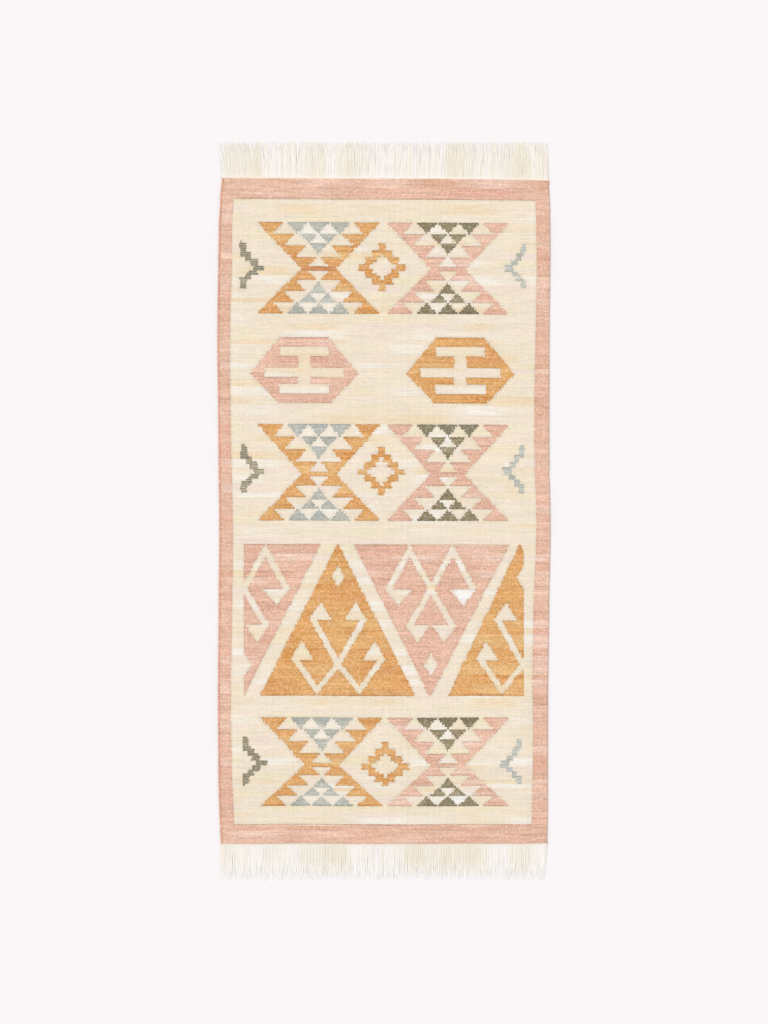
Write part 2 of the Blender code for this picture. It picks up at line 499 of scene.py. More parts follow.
def chartedAreas(col, row, turn):  # each area and its yarn, in the order in which they cover each other
    left = col < colCount / 2
    right = ~left
    past = row - perBand(row, hourglass["waists"])
    patchEnd = zoneRow["nearPlain"]
    inPatch = between(col, *palePatch["columns"])
    yield inPatch & between(row, patchEnd - palePatch["rows"], patchEnd), "white"
    out = fromNearest(col - perBand(row, hourglass["leftShift"]) * left, hourglass["centres"])
    away = abs(past)
    heart, gaps = heartAreas(out, away)
    yield gaps & ~inPatch, "pale"
    yield heart & left, "slate"
    yield heart & right, "olive"
    arms, bar = hourglassAreas(out, away)
    yield arms & left, "orange"
    yield bar & left, "orange"
    yield bar & left & (perBand(row, hourglass["darkBars"]) > 0.5), "orangeDark"
    yield (arms | bar) & right, "pink"
    across, along = col - perBand(row, stepped["centres"]), past + perBand(row, stepped["rises"])
    yield steppedArea(across, along), "orange"
    striped = turn % 2 > 0.5
    for side, yarn in (("left", "olive"), ("right", "slate")):
        area = chevronArea(col, row, past, chevrons[side])
        yield area, yarn
        yield area & striped, yarn + "Light"
    body = hexagonArea(fromNearest(col, hexagon["centres"]), row - zoneRow["hexagons"])
    yield body & left, "pink"
    yield body & right, "orange"
    down = row - zoneRow["triangles"]
    body, _ = triangleAreas(col, down, "orange", triangle["firstMiddle"] + triangle["spacing"])
    yield body, "orange"
    body, whiteHook = triangleAreas(col, zoneSize["triangles"] - down, "pink", triangle["firstMiddle"])
    yield body, "pink"
    yield whiteHook, "white"
    yield (col < loom["leftBorder"]) | (col > colCount - loom["rightBorder"]), "coral"
    yield (row < zoneRow["farPlain"]) | (row > zoneRow["nearBorder"]), "coral"
    inField = between(col, loom["leftBorder"], colCount - loom["rightBorder"])
    for start in (0, zoneRow["farPlain"] - loom["endPick"], rowCount - loom["endPick"]):
        wide = inField if 0 < start < rowCount / 2 else col > 0
        yield between(row, start, start + loom["endPick"]) & wide, "coralDark"
    yield (col < loom["leftSelvedge"]) | (col > colCount - loom["rightSelvedge"]), "selvedge"


rowMid, colMid = np.meshgrid(np.arange(rowCount) + 0.5, np.arange(colCount) + 0.5, indexing="ij")
chart = np.full((rowCount, colCount), yarnNames.index("cream"))
for area, yarn in chartedAreas(colMid, rowMid, 0 * rowMid):
    chart[area] = yarnNames.index(yarn)
print("chart drawn:", rowCount, "rows by", colCount, "columns")


# Dye: each patch of one yarn has its own shade, and streaks of a few rows where the hank changes.
# Each cell keeps how its shade differs from its yarn's usual one
dye = {
    "seed": 5,
    "bandRows": (2, 4),  # rows woven from one hank
    "streak": 22.0,  # columns that a streak runs
    "streakGain": 2.3,
    "fineStreak": 7.0,
    "fineShare": 0.25,
    "apart": (3.71, 1.3),  # how far apart the noise is read for the next band and for the next row
    "motifColumns": (20, 120),  # a row with dyed yarn between these has a motif
    "plainGain": 2.0,  # in the zones that have no motif
    "dyedGain": 2.2,  # in the yarns other than cream
    "streakFloor": 0.17,
    "patchShare": 0.6,  # how far a small patch goes towards its own shade
    "cellSpread": 0.008,
    "bigPatch": 600,  # cells, from which a patch shows streaks alone
    "deepTop": (12, 0.85),  # rows over which the orange triangles start deeper, and how far
}


def patchNumbers():  # cells of one yarn that touch, side to side, share a number
    number = np.full(chart.shape, -1)
    sizes = []
    for start in np.ndindex(chart.shape):
        if number[start] >= 0:
            continue
        number[start] = len(sizes)
        todo, size = [start], 0
        while todo:
            row, col = todo.pop()
            size += 1
            for near in ((row + 1, col), (row - 1, col), (row, col + 1), (row, col - 1)):
                if 0 <= near[0] < rowCount and 0 <= near[1] < colCount:
                    if number[near] < 0 and chart[near] == chart[start]:
                        number[near] = len(sizes)
                        todo.append(near)
        sizes.append(size)
    return number, sizes


def dyeChart():
    draws = random.Random(dye["seed"])
    shades = [[dyed(shade) for shade in yarns[name]] for name in yarnNames]
    patch, sizes = patchNumbers()
    patchShade = [draws.random() for _ in sizes]
    patchPull = [draws.random() for _ in sizes]
    bandOf, band = [], 0
    while len(bandOf) < rowCount:
        bandOf += [band] * draws.randint(*dye["bandRows"])
        band += 1
    motifRows = (chart[:, slice(*dye["motifColumns"])] != yarnNames.index("cream")).any(axis=1)
    tints = np.zeros((rowCount, colCount, 3))
    for row, col in np.ndindex(chart.shape):
        palette = shades[chart[row, col]]
        group = patch[row, col]
        colour = palette[0]
        if sizes[group] < dye["bigPatch"]:
            own = palette[int(patchShade[group] * len(palette))]
            colour = colour + (own - colour) * dye["patchShare"] * patchPull[group]
        gain = dye["streakGain"] if motifRows[row] else dye["plainGain"]
        gain = gain if yarnNames[chart[row, col]] in undyed else dye["dyedGain"]
        pull = noise.noise(Vector((col / dye["streak"], bandOf[row] * dye["apart"][0], 2.5)))
        fine = noise.noise(Vector((col / dye["fineStreak"], row * dye["apart"][1], 8.1)))
        pull = gain * (pull + dye["fineShare"] * fine)
        which = 1 + (bandOf[row] * 7 + (1 if pull > 0 else 3)) % (len(palette) - 1)
        share = min(max(abs(pull) - dye["streakFloor"], 0.0), 1.0)
        colour = colour + (palette[which] - colour) * share
        down = (row - zoneRow["triangles"]) / dye["deepTop"][0]
        if yarnNames[chart[row, col]] == "orange" and 0 <= down < 1:
            colour = colour + (palette[1] - colour) * dye["deepTop"][1] * (1 - down)
        tints[row, col] = colour / palette[0] * (1.0 + dye["cellSpread"] * draws.gauss(0.0, 1.0))
    return tints


cellTints = dyeChart()
print("yarns dyed")


# Cloth: a closed sheet with one face for each cell, above and below
weave = {
    "seed": 17,
    "thickness": 0.0040,
    "cellAcross": 0.005,
    "rim": (0.0, 0.10, 0.32),  # extra lines close to each edge, in cells, which round it
    "roundRadius": 0.0020,
    "wall": 0.75,  # share of the roundness, so that the edge keeps a narrow wall
    "swell": 0.00022,
    "swellAlong": 0.47,
    "swellAcross": 0.36,
    "pucker": 0.00022,
    "puckerLength": 0.036,
    "furrow": 0.00032,  # how deep the cloth dips where two yarns meet
    "cellJitter": 0.00028,
    "leftBorder": (5.4, 5.9),  # columns' width that the border takes, at the far end and at the near end
    "rightBorder": (5.65, 6.6),
    "borderWander": (0.25, 0.05),  # columns, and turns in a row
    "calmFrom": 10.0,  # columns from the selvedge, from which the columns are straight
    "calmEdges": (-0.3516, 0.3520),  # where the first and last column would lie, straight too
    "wander": 0.0006,  # how far the rows and columns stray from straight
    "wanderLength": 0.19,
    "wanderFrom": 10.0,  # cells from the edges, from which they stray in full
    "alongShare": 0.6,  # of the jitter across, that the jitter along the rug is
    "underside": 0.4,  # share of the relief that the underside has
    "bakeAbove": (0.005, 0.65),  # start and width on the map for baking
    "bakeUnder": (0.665, 0.33),
    "bakeAlong": (0.004, 0.992),
    "ribsPerColumn": 2,
    "picksPerRow": 4,
}


def gridLines(count):
    rim = np.array(weave["rim"])
    return np.concatenate([rim, np.arange(1, count), count - rim[::-1]])


edgeDepth = {"side": 0.012, "end": 0.007}  # how far in a point still counts to an edge


def edgeOutline(points, axis, side):  # where a node's edge lies, place by place along it
    out = points[:, axis] * side
    rim = points[out > out.max() - edgeDepth["side"]]
    places, group = np.unique(np.round(rim[:, 1 - axis], 3), return_inverse=True)
    reach = np.full(len(places), -1.0)
    np.maximum.at(reach, group, rim[:, axis] * side)
    return places, reach * side


def meshPoints(mesh):
    points = np.zeros(len(mesh.vertices) * 3, np.float32)
    mesh.vertices.foreach_get("co", points)
    return points.reshape(-1, 3).astype(float)


def noiseOver(x, y, length, layer):
    spots = zip(x.ravel() / length, y.ravel() / length)
    return np.array([noise.noise(Vector((a, b, layer))) for a, b in spots]).reshape(x.shape)


def columnPlaces(colLine, row, left, right):  # the borders take up how the selvedges wander
    turn = row * weave["borderWander"][1]
    leftWidth = np.interp(row, (0, rowCount), weave["leftBorder"])
    rightWidth = np.interp(row, (0, rowCount), weave["rightBorder"])
    leftWidth = leftWidth + weave["borderWander"][0] * math.sin(turn)
    rightWidth = rightWidth + weave["borderWander"][0] * math.cos(turn * 1.3)
    start, stop = weave["calmEdges"]
    pitch = (stop - start) / colCount
    calm = weave["calmFrom"]
    charted = (0, loom["leftBorder"], calm, colCount - calm, colCount - loom["rightBorder"], colCount)
    placed = (left, left + leftWidth * pitch, start + calm * pitch)
    return np.interp(colLine, charted, placed + (stop - calm * pitch, right - rightWidth * pitch, right))


def clothLevels():  # where every crossing of the grid's lines lies, above and below
    colLine, rowLine = gridLines(colCount), gridLines(rowCount)
    lengths = np.array([zone[2] for zone in loom["zones"]])
    zoneEdges = np.cumsum([0] + [zone[1] for zone in loom["zones"]])
    along = np.interp(rowLine, zoneEdges, np.concatenate([[0.0], np.cumsum(lengths)]) / lengths.sum())

    points = meshPoints(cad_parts["rug_cloth"].data)
    low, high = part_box("rug_cloth")
    nominalY = high.y + along * (low.y - high.y)
    left = np.interp(nominalY, *edgeOutline(points, 0, -1))
    right = np.interp(nominalY, *edgeOutline(points, 0, 1))
    x = np.array([columnPlaces(colLine, *ends) for ends in zip(rowLine, left, right)])
    far = np.interp(x, *edgeOutline(points[points[:, 1] > high.y - edgeDepth["end"]], 1, 1))
    near = np.interp(x, *edgeOutline(points[points[:, 1] < low.y + edgeDepth["end"]], 1, -1))
    y = far + along[:, None] * (near - far)

    fromSide, fromEnd = np.minimum(colLine, colCount - colLine), np.minimum(rowLine, rowCount - rowLine)
    edge = np.minimum(fromSide[None, :], fromEnd[:, None])
    inner = np.clip(edge / weave["wanderFrom"], 0.0, 1.0)
    strayX = noiseOver(x, y * 0.7, weave["wanderLength"], 3.3)
    strayY = noiseOver(x * 0.6, y, weave["wanderLength"], 6.1)
    x = x + inner * weave["wander"] * strayX
    y = y + inner * weave["wander"] * strayY
    draws = np.random.default_rng(weave["seed"])
    loose = np.clip(edge - 0.5, 0.0, 1.0) * weave["cellJitter"]
    x = x + loose * draws.uniform(-1, 1, x.shape)
    y = y + loose * draws.uniform(-1, 1, y.shape) * weave["alongShare"]

    swellY = np.sin(2 * np.pi * y / weave["swellAlong"])
    swell = weave["swell"] * (swellY + np.sin(2 * np.pi * x / weave["swellAcross"] + swellY)) / 2
    pucker = weave["pucker"] * noiseOver(x, y, weave["puckerLength"], 9.4)
    furrow = weave["furrow"] * furrowShare(colLine, rowLine)
    inwards = np.clip(edge * weave["cellAcross"] / weave["roundRadius"], 0.0, 1.0)
    rounding = weave["wall"] * weave["roundRadius"] * (1.0 - np.sqrt(1.0 - (1.0 - inwards) ** 2))
    top = weave["thickness"] + swell + pucker - furrow - rounding
    under = rounding + weave["underside"] * furrow
    return x, y, top, under


def furrowShare(colLine, rowLine):  # 1 where the yarns beside a crossing differ, 0 elsewhere
    padded = np.pad(chart, 1, mode="edge")
    corners = [padded[1:, 1:], padded[:-1, 1:], padded[1:, :-1], padded[:-1, :-1]]
    differ = np.maximum.reduce([corner != corners[0] for corner in corners[1:]]).astype(float)
    whole = differ[np.ix_(np.round(rowLine).astype(int), np.round(colLine).astype(int))]
    return whole * (rowLine % 1 == 0)[:, None] * (colLine % 1 == 0)[None, :]


def baseLines():  # 1 along the far and the near edge of a motif, where that edge runs for three cells
    motif = chart != yarnNames.index("cream")
    edges = []
    for side in (1, -1):
        edge = motif & ~np.roll(motif, side, axis=0)
        edges.append(edge & np.roll(edge, 1, axis=1) | edge & np.roll(edge, -1, axis=1))
    return np.stack(edges, axis=2)


def makeCloth():
    colLine, rowLine = gridLines(colCount), gridLines(rowCount)
    colFaces, rowFaces = len(colLine) - 1, len(rowLine) - 1
    bm = bmesh.new()
    bmesh.ops.create_grid(bm, x_segments=colFaces, y_segments=rowFaces, size=1.0)
    raised = bmesh.ops.extrude_face_region(bm, geom=bm.faces[:])["geom"]
    raisedVerts = [item for item in raised if isinstance(item, bmesh.types.BMVert)]
    bmesh.ops.translate(bm, verts=raisedVerts, vec=(0.0, 0.0, 1.0))
    bmesh.ops.recalc_face_normals(bm, faces=bm.faces[:])
    mesh = meshOf(bm, "kilimCloth")

    # every point of the plain box is known by its line across, its line along and its side
    points = meshPoints(mesh)
    col = np.round((points[:, 0] + 1) / 2 * colFaces).astype(int)
    row = np.round((1 - points[:, 1]) / 2 * rowFaces).astype(int)
    above = points[:, 2] > 0.5
    x, y, top, under = clothLevels()
    height = np.where(above, top[row, col], under[row, col])
    placed = np.stack([x[row, col], y[row, col], height], axis=1)
    mesh.vertices.foreach_set("co", placed.astype(np.float32).ravel())

    corner = np.zeros(len(mesh.loops), np.int32)
    mesh.loops.foreach_get("vertex_index", corner)
    sides = 4  # every face has four corners
    faceCol = colLine[col[corner]].reshape(-1, sides)
    faceRow = rowLine[row[corner]].reshape(-1, sides)
    cellCol = np.clip(np.floor(faceCol.mean(axis=1)), 0, colCount - 1).astype(int)
    cellRow = np.clip(np.floor(faceRow.mean(axis=1)), 0, rowCount - 1).astype(int)
    tints = np.ones((len(cellCol), 4))
    tints[:, :3] = cellTints[cellRow, cellCol]
    writeColours(mesh, "dyeTint", np.repeat(tints, sides, axis=0))
    base = np.ones((len(cellCol), 4))
    base[:, :2] = baseLines()[cellRow, cellCol]
    base[:, 2] = ~np.isin(chart, [yarnNames.index(name) for name in undyed])[cellRow, cellCol]
    writeColours(mesh, "baseLine", np.repeat(base, sides, axis=0))
    # painted shade: 1 where two yarns meet, where the material darkens the colour as if the furrow there lay
    # in shade
    furrowShadeMask = mesh.attributes.new("furrowShadeMask", "FLOAT", "POINT")
    furrowShadeMask.data.foreach_set("value", furrowShare(colLine, rowLine)[row, col].astype(np.float32))

    u = colLine[col[corner]] / colCount
    v = rowLine[row[corner]] / rowCount
    writeMap(mesh, "weave", u, v)
    faceAbove = np.repeat(above[corner].reshape(-1, sides).mean(axis=1) > 0.25, sides)
    (start, wide), (underStart, underWide) = weave["bakeAbove"], weave["bakeUnder"]
    bakeU = np.where(faceAbove, start + wide * u, underStart + underWide * u)
    writeMap(mesh, "OFBake", bakeU, weave["bakeAlong"][0] + weave["bakeAlong"][1] * v)
    mesh.shade_smooth()
    mesh.update()
    return inScene("kilimCloth", mesh)


def writeColours(mesh, name, values):
    layer = mesh.color_attributes.new(name, "FLOAT_COLOR", "CORNER")
    layer.data.foreach_set("color", values.astype(np.float32).ravel())


def writeMap(mesh, name, u, v):
    layer = mesh.uv_layers.new(name=name)
    layer.data.foreach_set("uv", np.stack([u, v], axis=1).astype(np.float32).ravel())


wool = {
    "roughness": 0.97,
    "smoother": 0.10,  # the crests, than the roughness above
    "sheen": 0.08,
    "turnsPerRow": 2,
    "turnJitter": 0.25,  # rows by which the turns of a rib sit from its neighbours' turns
    "ribJitter": 0.5,  # columns by which a turn ends early or late at an edge
    "ribJitterEvery": 9.0,
    "gain": 1.20,
    "paleFibre": (252, 242, 228),
    "paleShare": 0.50,
    "palerBy": {"slub": 1.2, "bead": 0.4, "fleck": 0.7},
    "pickStreak": 0.24,  # how much the wefts differ from each other
    "pickNoise": (15.0, 0.93),  # noise over the cloth's width, and from pick to pick
    "turnStreak": 0.20,
    "turnNoise": (10.0, 1.7),
    "dyedStreak": 0.38,  # more, in the dyed yarns
    "fleck": 0.19,  # in the dyed yarns alone
    "ribShade": 0.12,
    "slub": 0.16,  # thick and thin stretches of yarn
    "slubNoise": (60.0, 600.0),  # over the cloth's width and length
    "ribBulge": 0.55,
    "pickBulge": 0.45,
    "bead": 0.10,  # each visible turn over a warp
    # painted shade: the colour darkens in the hollows between ribs and between picks
    "creviceShade": 0.20,
    # painted shade in the furrow where two yarns meet
    "meetingShade": 0.08,
    "baseDark": 0.20,
    "baseRows": 0.34,
    "bumpDepth": 0.0007,
    "slubBump": 0.5,
    "pickBump": 0.4,
}


def woolLook():
    look = Look("kilimWool", wool["roughness"], wool["sheen"])
    across, along, _ = look.parts(look.node("ShaderNodeUVMap", {"uv_map": "weave"}))
    column, row = across * colCount, along * rowCount
    rib = column * weave["ribsPerColumn"]
    ribNumber = rib // 1
    jitter = look.node("ShaderNodeTexWhiteNoise", {"noise_dimensions": "1D"}, {"W": ribNumber})
    jitter = (jitter - 0.5) * wool["turnJitter"]
    turn = (row * wool["turnsPerRow"] + jitter * wool["turnsPerRow"]) // 1
    rowNumber = (row + jitter) // 1
    slip = look.chance(rowNumber, column // wool["ribJitterEvery"]) - 0.5
    chartCol = (ribNumber + 0.5) / weave["ribsPerColumn"] + slip * wool["ribJitter"]
    chartRow = rowNumber + 0.5

    # a cell's tint is for its own yarn, and where the edge of a motif crosses the cell the other stays plain
    farBase, nearBase, isDyed = look.parts(look.node("ShaderNodeVertexColor", {"layer_name": "baseLine"}))
    tint = look.node("ShaderNodeVertexColor", {"layer_name": "dyeTint"})
    plain = (1.0, 1.0, 1.0, 1.0)
    fieldTint, motifTint = look.lerp(isDyed, tint, plain), look.lerp(isDyed, plain, tint)
    colour = look.times(dyed(yarns["cream"][0]), fieldTint)
    for area, yarn in chartedAreas(chartCol, chartRow, turn):
        shade = look.times(dyed(yarns[yarn][0]), fieldTint if yarn in undyed else motifTint)
        colour = look.lerp(area, colour, shade)

    pick = row * weave["picksPerRow"] + ribNumber % 2 * 0.5  # next ribs are half a pick apart
    pickNumber = pick // 1
    ribAcross = (rib - ribNumber) * 2 - 1
    pickAcross = (pick - pickNumber) * 2 - 1
    ribBulge = (1 - ribAcross * ribAcross) * wool["ribBulge"]
    bulge = ribBulge + (1 - pickAcross * pickAcross) * wool["pickBulge"]

    bead = look.chance(ribNumber, pickNumber) - 0.5
    (overPick, perPick), (overTurn, perTurn) = wool["pickNoise"], wool["turnNoise"]
    pickStreak = look.noise(across * overPick, pickNumber * perPick, layer=1.5) - 0.5
    turnStreak = look.noise(across * overTurn, turn * perTurn, layer=2.5) - 0.5
    fleck = look.chance(ribNumber, turn, 3.0, dimensions="3D") - 0.5
    overWidth, overLength = wool["slubNoise"]
    slub = look.noise(across * overWidth, along * overLength, detail=2.0, roughness=0.6, layer=4.0) - 0.5
    # where two yarns meet, for the painted shade in the furrow
    furrowShadeMask = look.node("ShaderNodeAttribute", {"attribute_name": "furrowShadeMask"}, (), 2)
    inRow = row - row // 1
    base = farBase * (inRow < wool["baseRows"]) + nearBase * (inRow > 1 - wool["baseRows"])

    pale = (*dyed(wool["paleFibre"]), 1.0)
    by = wool["palerBy"]
    paler = (slub * by["slub"] + bead * by["bead"] + fleck * by["fleck"]) * wool["paleShare"]
    colour = look.lerp(paler.positive(), colour, pale)
    tone = wool["gain"] + pickStreak * wool["pickStreak"] + turnStreak * wool["turnStreak"]
    tone = tone + slub * wool["slub"] + bead * wool["bead"] + jitter * wool["ribShade"]
    tone = tone + isDyed * (fleck * wool["fleck"] + turnStreak * wool["dyedStreak"])
    # painted shade: darker in the hollows between ribs and picks, and in the furrows where two yarns meet
    tone = tone - (1 - bulge) * wool["creviceShade"] - furrowShadeMask * wool["meetingShade"] - base * wool["baseDark"]
    height = bulge + slub * wool["slubBump"] + pickStreak * wool["pickBump"]
    look.feed(look.shader, {
        "Base Color": look.scaled(colour, tone),
        "Roughness": wool["roughness"] - bulge * wool["smoother"],
        "Normal": look.bump(height, wool["bumpDepth"]),
    })
    return look.material


cloth = makeCloth()
cloth.data.materials.append(woolLook())
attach(cloth, "root")
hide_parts("rug_cloth")
print("cloth woven:", len(cloth.data.polygons), "faces")


# Fringes: the warp ends, which have opened into flat tufts, with loose fibres and a twined row
fringe = {
    "tufts": 540,
    "tuftSides": 6,
    "tuftSteps": 14,
    "sizesAt": (0.0, 0.5, 0.8, 1.0),  # shares of a tuft's length
    "halfWide": (0.00170, 0.00170, 0.00150, 0.00060),
    "halfHigh": (0.00045, 0.00030, 0.00014, 0.00005),
    "rootHigh": 0.0016,  # where the tufts come out of the twined row
    "fallShare": 0.12,  # they reach the floor by this share of their length
    "pile": 0.0006,  # how high the upper tufts lie over the lowest
    "clump": (3, 9),  # tufts that drift together
    "gather": 0.10,
    "rootJitter": 0.3,  # of the tufts' pitch
    "rootsOut": 0.0012,  # past the cloth's end
    "bend": 1.6,  # how late along its length a tuft leans
    "clumpSway": 0.0015,
    "tuftSway": 0.0011,
    "waver": 0.0009,
    "waverAngle": 5.5,  # radians over a tuft's length
    "humps": (0.8, 0.2, 9.0),  # least height, how much it varies, and the angle over the length
    "settle": (0.4, 0.5, 0.95),  # the pile gets lower from here, over this share, by this much
    "fibres": 1100,
    "fibreSides": 3,
    "fibreSteps": 8,
    "fibreHalf": (0.00018, 0.00016, 0.00013, 0.00006),
    "fibreLift": (0.00004, 0.0002),
    "fibreSpread": 0.0022,
    "fibreStart": (0.0, 0.75),  # shares of the tuft's length
    "fibreRun": (0.2, 0.6),
    "fibreStop": (0.88, 1.0),
    "fibreCurl": 0.0005,
    "beadRadius": (0.0019, 0.0014),  # across and up, of the twined row
    "beadSwell": (0.84, 0.22),  # least share of the radius, and how much it varies
    "rowOut": 0.0011,  # past the cloth's end
    "rowLevel": 0.0016,
    "beads": 280,
    "beadSides": 8,
    "beadSteps": 4,
    "fanTo": -0.325,  # the corner tufts, up to here, may fan out close to their roots
    "fanWide": 0.022,
    # lean of the tips towards +X, from place to place across the rug
    "leanAt": (-0.353, -0.290, -0.180, -0.060, 0.070, 0.190, 0.290, 0.353),
}
fringeEnds = {
    "fringe_far": {
        "piece": "fringeFar",
        "end": 1,
        "seed": 11,
        "uneven": 0.006,  # how much shorter the shortest tuft is
        "paleTips": 0.3,  # how far the ends turn to the pale shade
        "cornerFan": 1.05,
        "lean": (-0.0105, -0.0020, 0.0016, -0.0010, 0.0020, 0.0034, 0.0020, -0.0004),
    },
    "fringe_near": {
        "piece": "fringeNear",
        "end": -1,
        "seed": 29,
        "uneven": 0.015,
        "paleTips": 1.0,
        "cornerFan": 0.5,
        "lean": (-0.0030, 0.0010, -0.0030, 0.0022, -0.0018, 0.0016, -0.0022, -0.0034),
    },
}


def plainTubes(sides, steps, count):  # straight tubes of unit radius and length along +Y, as one mesh
    bm = bmesh.new()
    bmesh.ops.create_circle(bm, segments=sides, radius=1.0)
    upToAlong = Vector((0, 0, 1)).rotation_difference(Vector((0, 1, 0))).to_matrix()
    bmesh.ops.rotate(bm, verts=bm.verts, matrix=upToAlong)
    ring = bm.verts[:] + bm.edges[:]
    bmesh.ops.spin(bm, geom=ring, axis=(0, 1, 0), dvec=(0, 1.0 / steps, 0), angle=0.0, steps=steps)
    caps = bmesh.ops.holes_fill(bm, edges=bm.edges[:], sides=sides)["faces"]
    for edge in (edge for cap in caps for edge in cap.edges):
        edge.smooth = False  # or the tubes' ends would be shaded as if they bent down
    bmesh.ops.recalc_face_normals(bm, faces=bm.faces[:])
    holder = inScene("tube", meshOf(bm, "tube"))
    copies = holder.modifiers.new("copies", "ARRAY")
    copies.count = count
    copies.use_relative_offset = False
    joined = bpy.data.meshes.new_from_object(holder.evaluated_get(bpy.context.evaluated_depsgraph_get()))
    bpy.data.objects.remove(holder)
    return joined


def eased(values, share):
    return np.interp(share, fringe["sizesAt"], values)


def bendTubes(mesh, count, path, halfWide, halfHigh):  # lays each tube on its own path, over the floor
    shape = meshPoints(mesh).reshape(count, -1, 3)
    share = shape[:, :, 1]
    x, y, z = path(share)
    aheadX, aheadY, _ = path(share + 0.01)
    slopeX, slopeY = aheadX - x, aheadY - y
    size = np.hypot(slopeX, slopeY)
    high = halfHigh(share)
    sideways = shape[:, :, 0] * halfWide(share)
    z = np.maximum(z, high) + shape[:, :, 2] * high
    placed = np.stack([x + sideways * slopeY / size, y - sideways * slopeX / size, z], axis=2)
    mesh.vertices.foreach_set("co", placed.astype(np.float32).ravel())
    return shape.reshape(-1, 3)


def spreadTufts(node, form, draws):  # every tuft's root, reach, lean and level, one value for each
    count = fringe["tufts"]
    low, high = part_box(node)
    end = form["end"]
    nodePoints = meshPoints(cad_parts[node].data)
    rootLevel, tipY = (low.y, high.y) if end > 0 else (high.y, low.y)
    atRoot = nodePoints[np.abs(nodePoints[:, 1] - rootLevel) < 0.006]
    left, right = atRoot[:, 0].min(), atRoot[:, 0].max()
    clothX, clothEnd = edgeOutline(meshPoints(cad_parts["rug_cloth"].data), 1, end)

    pitch = (right - left) / count
    rootX = left + (np.arange(count) + 0.5 + fringe["rootJitter"] * draws.uniform(-1, 1, count)) * pitch
    sizes = draws.integers(*fringe["clump"], count)
    clump = np.repeat(np.arange(count), sizes)[:count]
    clumps = clump.max() + 1
    clumpX = np.bincount(clump, rootX) / np.bincount(clump)
    sway = draws.normal(0, fringe["clumpSway"], clumps)[clump] + draws.normal(0, fringe["tuftSway"], count)
    short = form["uneven"] * (0.5 * draws.random(count) + 0.5 * draws.random(clumps)[clump]) ** 1.4
    rootY = np.interp(rootX, clothX, clothEnd) + end * fringe["rootsOut"]
    fanned = np.clip((fringe["fanTo"] - rootX) / fringe["fanWide"], 0.0, 1.0)
    tufts = {
        "rootX": rootX,
        "rootY": rootY,
        "reach": tipY - end * (short - short.min()) - rootY,
        "lean": np.interp(rootX, fringe["leanAt"], form["lean"]) + sway,
        "gather": fringe["gather"] * draws.uniform(0.2, 1.0, count) * (clumpX[clump] - rootX),
        "bend": fringe["bend"] - form["cornerFan"] * fanned,
        "waver": fringe["waver"] * draws.uniform(0.3, 1.0, count),
        "phase": draws.uniform(0, 2 * math.pi, count),
        "level": fringe["pile"] * draws.random(count),
    }
    return tufts, clump, (left, right, clothX, clothEnd)


def tuftPath(tufts, share):
    part = {name: values[:, None] for name, values in tufts.items()}
    drawn = np.sin(np.clip(share, 0.0, 1.0) * math.pi * 0.75)
    wave = part["waver"] * np.sin(share * fringe["waverAngle"] + part["phase"]) * share
    x = part["rootX"] + part["lean"] * np.abs(share) ** part["bend"] + part["gather"] * drawn + wave
    y = part["rootY"] + share * part["reach"]
    fallen = np.clip(share / fringe["fallShare"], 0.0, 1.0)
    start, over, lowered = fringe["settle"]
    tipped = 1.0 - lowered * np.clip((share - start) / over, 0.0, 1.0)
    least, more, angle = fringe["humps"]
    hump = part["level"] * (least + more * np.sin(share * angle + part["phase"])) * tipped
    return x, y, fringe["rootHigh"] * (1.0 - fallen) + fallen * (hump + eased(fringe["halfHigh"], share))


def makeTufts(tufts):
    mesh = plainTubes(fringe["tuftSides"], fringe["tuftSteps"], fringe["tufts"])
    shape = bendTubes(
        mesh,
        fringe["tufts"],
        lambda share: tuftPath(tufts, share),
        lambda share: eased(fringe["halfWide"], share),
        lambda share: eased(fringe["halfHigh"], share),
    )
    return mesh, shape


def makeFibres(tufts, draws):  # each stands away from a tuft, and some run past its tip
    count = fringe["fibres"]
    host = draws.integers(0, fringe["tufts"], count)
    hosts = {name: values[host] for name, values in tufts.items()}
    start = draws.uniform(*fringe["fibreStart"], count)
    stop = start + draws.uniform(*fringe["fibreRun"], count)
    stop = np.minimum(stop, draws.uniform(*fringe["fibreStop"], count))[:, None]
    start = start[:, None]
    away = draws.normal(0, fringe["fibreSpread"], count)[:, None]
    lift = draws.uniform(*fringe["fibreLift"], count)[:, None]
    curl = draws.uniform(0, 2 * math.pi, count)[:, None]

    def path(share):
        x, y, z = tuftPath(hosts, start + share * (stop - start))
        x = x + away * np.abs(share) ** 1.5 + fringe["fibreCurl"] * np.sin(share * 4.0 + curl)
        return x, y, z + lift * np.sin(np.clip(share, 0.0, 1.0) * math.pi * 0.8)

    mesh = plainTubes(fringe["fibreSides"], fringe["fibreSteps"], count)

    def thin(share):
        return eased(fringe["fibreHalf"], share)

    return mesh, bendTubes(mesh, count, path, thin, thin), host


def makeTwining(root, end):  # the row that holds the warp ends, a bead for each pair
    left, right, clothX, clothEnd = root
    mesh = plainTubes(fringe["beadSides"], fringe["beads"] * fringe["beadSteps"], 1)

    def path(share):
        x = left + share * (right - left)
        return x, np.interp(x, clothX, clothEnd) + end * fringe["rowOut"], fringe["rowLevel"] + 0 * share

    def swell(share):
        least, more = fringe["beadSwell"]
        return least + more * np.abs(np.sin(share * fringe["beads"] * math.pi))

    wide, high = fringe["beadRadius"]
    shape = bendTubes(mesh, 1, path, lambda share: swell(share) * wide, lambda share: swell(share) * high)
    return mesh, shape


